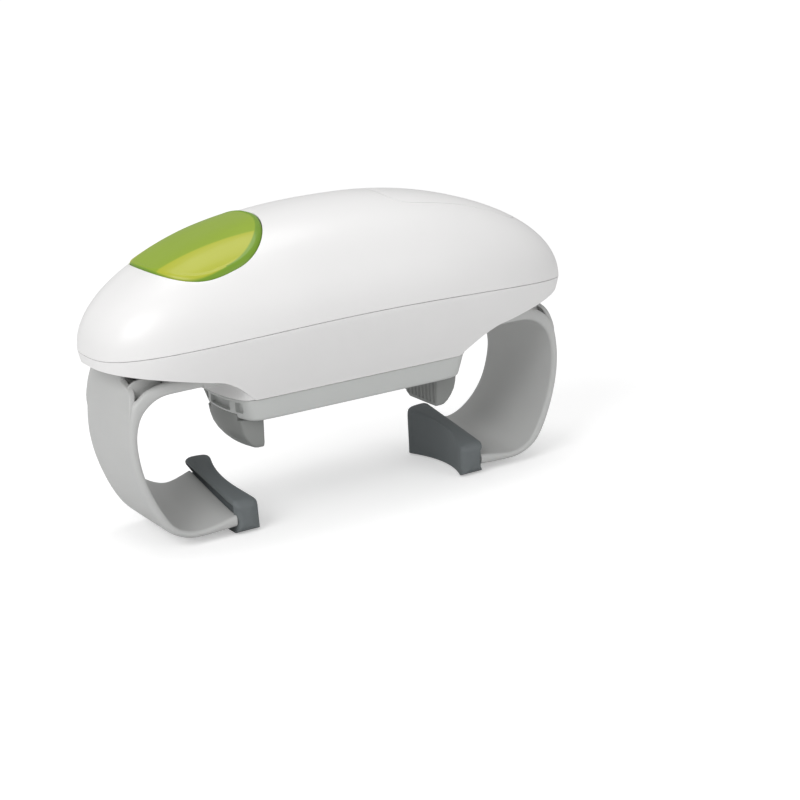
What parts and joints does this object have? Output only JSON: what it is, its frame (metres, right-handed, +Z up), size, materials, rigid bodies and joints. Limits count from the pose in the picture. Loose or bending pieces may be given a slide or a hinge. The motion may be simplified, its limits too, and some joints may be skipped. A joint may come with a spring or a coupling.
{
  "type": "electric jar opener",
  "caption": "Battery jar opener with an oval push button, a turntable with two sliding lid jaws and two C-shaped jar arms on a rack drive.",
  "frame": {"origin": "on the table, midway between the two arm pads", "axes": "+X along the casing away from the button, +Z up, -Y towards the front"},
  "size_m": [0.215, 0.08, 0.1265],
  "materials": {
    "white_casing": "glossy white moulded plastic",
    "green_button": "glossy lime green",
    "light_grey_moulding": "satin light grey",
    "mid_grey_jaw": "satin mid grey",
    "grey_rubber": "matt moulded rubber",
    "steel": "plain steel",
    "gear_plastic": "natural acetal",
    "brass": "turned",
    "black_plastic": "satin",
    "cell_jacket": "plain printed sleeve without text"
  },
  "bodies": {
    "casing": {"upper_casing": "white_casing", "lower_casing": "white_casing", "button_spring": "steel", "switch_bracket": "light_grey_moulding", "switch": "black_plastic", "door_pin": "steel", "battery_tray": "light_grey_moulding", "battery_cells": "cell_jacket", "battery_contacts": "steel", "motor": "steel", "gear_pins": "steel", "gearbox_base": "light_grey_moulding", "gearbox_cover": "light_grey_moulding", "gearbox_posts": "light_grey_moulding", "gearbox_screws": "steel", "arm_pinion_pin": "steel", "casing_screws": "steel"},
    "button": {"button": "green_button"},
    "battery_door": {"battery_door": "white_casing"},
    "left_arm": {"left_arm": "light_grey_moulding", "left_pad": "grey_rubber"},
    "right_arm": {"right_arm": "light_grey_moulding", "right_pad": "grey_rubber"},
    "arm_pinion": {"arm_pinion": "gear_plastic"},
    "turntable": {"jaw_carrier": "light_grey_moulding", "carrier_cover": "light_grey_moulding", "carrier_gear": "gear_plastic", "carrier_screws": "steel", "jaw_pinion_pin": "steel"},
    "left_jaw": {"left_jaw": "mid_grey_jaw"},
    "right_jaw": {"right_jaw": "mid_grey_jaw"},
    "jaw_pinion": {"jaw_pinion": "gear_plastic"},
    "drive": {"drive_shaft": "steel", "drive_gear": "gear_plastic"},
    "second_gear": {"second_gear": "gear_plastic"},
    "first_gear": {"first_gear": "gear_plastic"},
    "motor_rotor": {"motor_pinion": "brass"}
  },
  "joints": [
    {"name": "button_press", "type": "slide", "parent": "casing", "child": "button", "axis": [0.2859, 0, -0.9583], "range_m": [0, 0.0015], "stiffness_N_per_m": 400, "springref_m": -0.002, "deforming": ["button_spring"]},
    {"name": "battery_door_hinge", "type": "hinge", "parent": "casing", "child": "battery_door", "pos_m": [0.083, 0, 0.10732], "axis": [0, 1, 0], "range_deg": [0, 75]},
    {"name": "left_arm_slide", "type": "slide", "parent": "casing", "child": "left_arm", "axis": [1, 0, 0], "range_m": [-0.005, 0.028]},
    {"name": "right_arm_slide", "type": "slide", "parent": "casing", "child": "right_arm", "axis": [-1, 0, 0], "range_m": [-0.005, 0.028]},
    {"name": "arm_pinion_spin", "type": "hinge", "parent": "casing", "child": "arm_pinion", "pos_m": [0, 0, 0.0653], "axis": [0, 0, 1], "range_deg": [-50, 270]},
    {"name": "turntable_spin", "type": "hinge", "parent": "casing", "child": "turntable", "pos_m": [0, 0, 0.0546], "axis": [0, 0, 1], "continuous": true},
    {"name": "left_jaw_slide", "type": "slide", "parent": "turntable", "child": "left_jaw", "axis": [1, 0, 0], "range_m": [-0.003, 0.026]},
    {"name": "right_jaw_slide", "type": "slide", "parent": "turntable", "child": "right_jaw", "axis": [-1, 0, 0], "range_m": [-0.003, 0.026]},
    {"name": "jaw_pinion_spin", "type": "hinge", "parent": "turntable", "child": "jaw_pinion", "pos_m": [0, 0, 0.049], "axis": [0, 0, 1], "range_deg": [-45, 375]},
    {"name": "drive_spin", "type": "hinge", "parent": "casing", "child": "drive", "pos_m": [0, 0.0168, 0.0705], "axis": [0, 0, 1], "continuous": true},
    {"name": "second_gear_spin", "type": "hinge", "parent": "casing", "child": "second_gear", "pos_m": [-0.0153, 0.00811, 0.0755], "axis": [0, 0, 1], "continuous": true},
    {"name": "first_gear_spin", "type": "hinge", "parent": "casing", "child": "first_gear", "pos_m": [-0.02731, -0.00789, 0.0795], "axis": [0, 0, 1], "continuous": true},
    {"name": "motor_spin", "type": "hinge", "parent": "casing", "child": "motor_rotor", "pos_m": [-0.01132, 0.00412, 0.0835], "axis": [0, 0, 1], "continuous": true}
  ],
  "couplings": [
    {"joint": "right_arm_slide", "follows": "left_arm_slide", "ratio": 1},
    {"joint": "arm_pinion_spin", "follows": "left_arm_slide", "rad_per_m": 166.67},
    {"joint": "right_jaw_slide", "follows": "left_jaw_slide", "ratio": 1},
    {"joint": "jaw_pinion_spin", "follows": "left_jaw_slide", "rad_per_m": 250},
    {"joint": "drive_spin", "follows": "turntable_spin", "ratio": -3.2},
    {"joint": "second_gear_spin", "follows": "turntable_spin", "ratio": 10.88},
    {"joint": "first_gear_spin", "follows": "turntable_spin", "ratio": -43.52},
    {"joint": "motor_spin", "follows": "turntable_spin", "ratio": 174.08}
  ]
}
